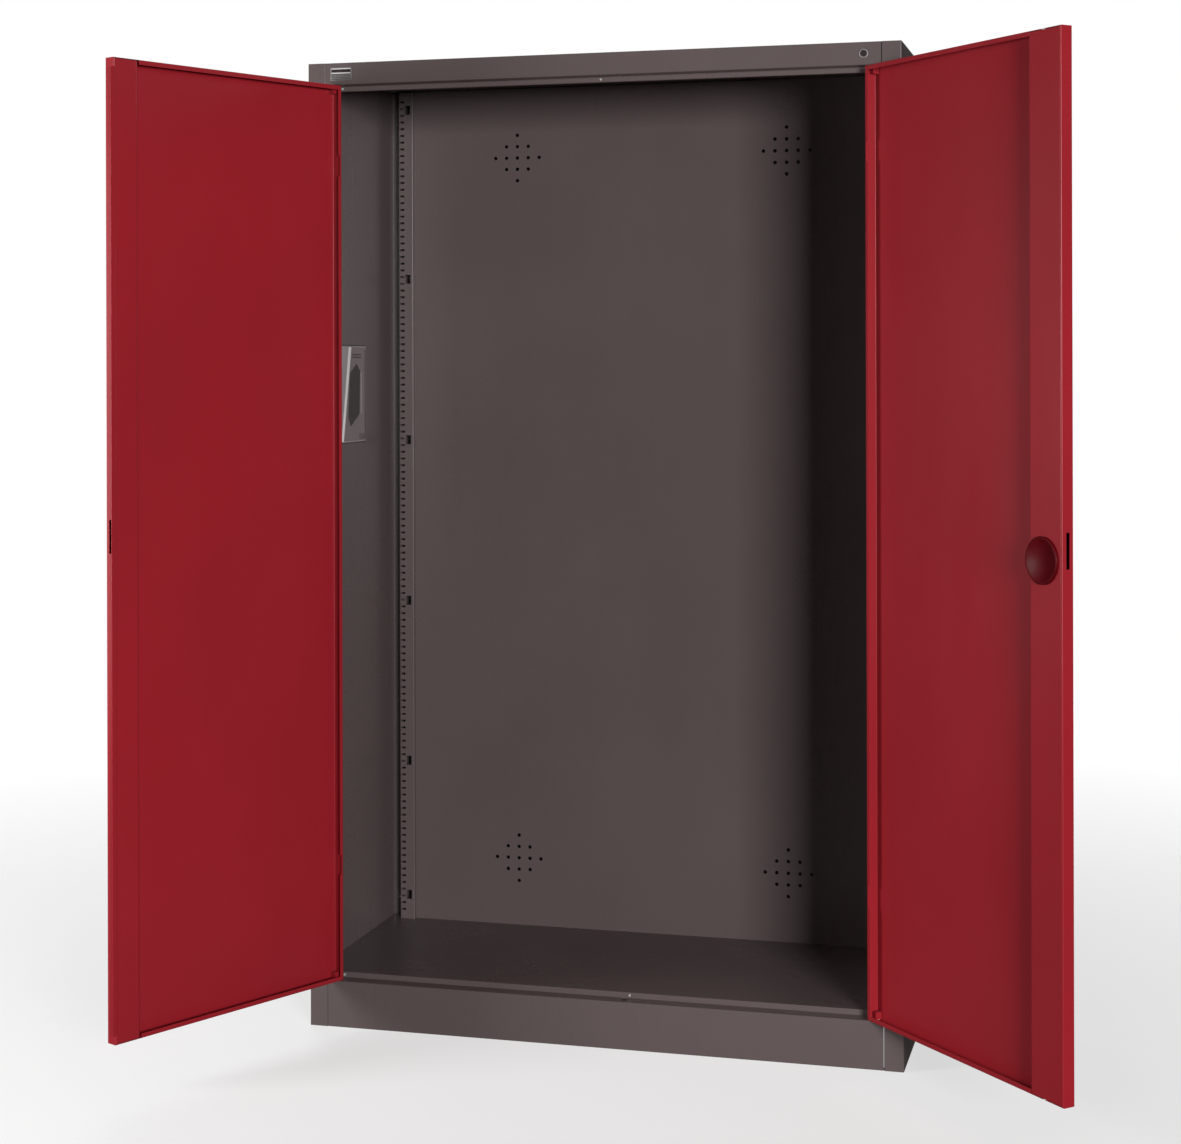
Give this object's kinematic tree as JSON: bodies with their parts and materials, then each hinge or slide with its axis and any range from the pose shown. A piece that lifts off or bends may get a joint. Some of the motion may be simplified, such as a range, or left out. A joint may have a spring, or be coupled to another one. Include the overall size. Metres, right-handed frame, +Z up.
{
  "type": "two-door steel storage locker",
  "caption": "Sheet-steel locker with two hinged doors standing open, slotted shelf uprights inside, and a turn-handle lock that drives rods up and down.",
  "frame": {"origin": "on the floor under the middle of the carcass, on the underside of the middle floor stiffener", "axes": "+Z up, +X to the right seen from the front, +Y from the door side to the back"},
  "size_m": [1.7308, 1.0045, 1.95],
  "materials": {
    "carcass_paint": "semi-gloss powder coat, dark grey-brown",
    "door_paint": "semi-gloss powder coat, deep red",
    "cap_plastic": "dark red moulded plastic, lightly polished",
    "zinc_steel": "bright zinc-plated steel",
    "nylon": "off-white nylon",
    "handle_plastic": "fine-grained black plastic",
    "lock_chrome": "polished",
    "key_brass": "turned brass",
    "plate_metal": "satin anodised",
    "card": "printed card in a matt clear sleeve"
  },
  "bodies": {
    "carcass": {"left_side_panel": "carcass_paint", "right_side_panel": "carcass_paint", "top_front_rail": "carcass_paint", "top_panel": "carcass_paint", "floor_panel": "carcass_paint", "plinth_front": "carcass_paint", "floor_stiffener": "carcass_paint", "back_panel": "carcass_paint", "left_front_upright": "carcass_paint", "right_front_upright": "carcass_paint", "left_rear_upright": "carcass_paint", "right_rear_upright": "carcass_paint", "hinge_plates": "zinc_steel", "hinge_bushes": "nylon", "door_buffers": "nylon", "nameplate": "plate_metal", "corner_badge": "plate_metal", "info_card": "card"},
    "left_door": {"left_door_pan": "door_paint", "left_door_channel": "door_paint", "left_door_lap_strip": "door_paint", "left_hinge_brackets": "door_paint", "left_hinge_pins": "zinc_steel"},
    "right_door": {"right_door_pan": "door_paint", "right_door_channel": "door_paint", "right_hinge_brackets": "door_paint", "right_hinge_pins": "zinc_steel", "lock_case": "zinc_steel", "lock_cap": "cap_plastic", "rod_guides": "nylon", "escutcheon": "handle_plastic", "lock_screws": "zinc_steel"},
    "handle": {"turn_handle": "handle_plastic", "lock_cylinder": "lock_chrome", "spindle": "zinc_steel", "latch_arm": "zinc_steel", "lock_pinion": "zinc_steel", "retaining_ring": "zinc_steel"},
    "key": {"key_plug": "key_brass"},
    "upper_rod": {"upper_lock_rod": "zinc_steel"},
    "lower_rod": {"lower_lock_rod": "zinc_steel"}
  },
  "joints": [
    {"name": "left_door_hinge", "type": "hinge", "parent": "carcass", "child": "left_door", "pos_m": [-0.5517, -0.245, 1], "axis": [0, 0, -1], "range_deg": [-116.5, 16.5]},
    {"name": "right_door_hinge", "type": "hinge", "parent": "carcass", "child": "right_door", "pos_m": [0.5517, -0.245, 1], "axis": [0, 0, 1], "range_deg": [-133, 0]},
    {"name": "handle_turn", "type": "hinge", "parent": "right_door", "child": "handle", "pos_m": [0.89352, -0.61155, 1.006], "axis": [0.7314, 0.682, 0], "range_deg": [0, 90]},
    {"name": "key_turn", "type": "hinge", "parent": "handle", "child": "key", "pos_m": [0.89352, -0.61155, 1.006], "axis": [0.7314, 0.682, 0], "range_deg": [0, 90]},
    {"name": "upper_rod_slide", "type": "slide", "parent": "right_door", "child": "upper_rod", "axis": [0, 0, 1], "range_m": [0, 0.0141]},
    {"name": "lower_rod_slide", "type": "slide", "parent": "right_door", "child": "lower_rod", "axis": [0, 0, -1], "range_m": [0, 0.0142]}
  ],
  "couplings": [
    {"joint": "handle_turn", "follows": "upper_rod_slide", "rad_per_m": 111.11},
    {"joint": "lower_rod_slide", "follows": "upper_rod_slide", "ratio": 1}
  ]
}
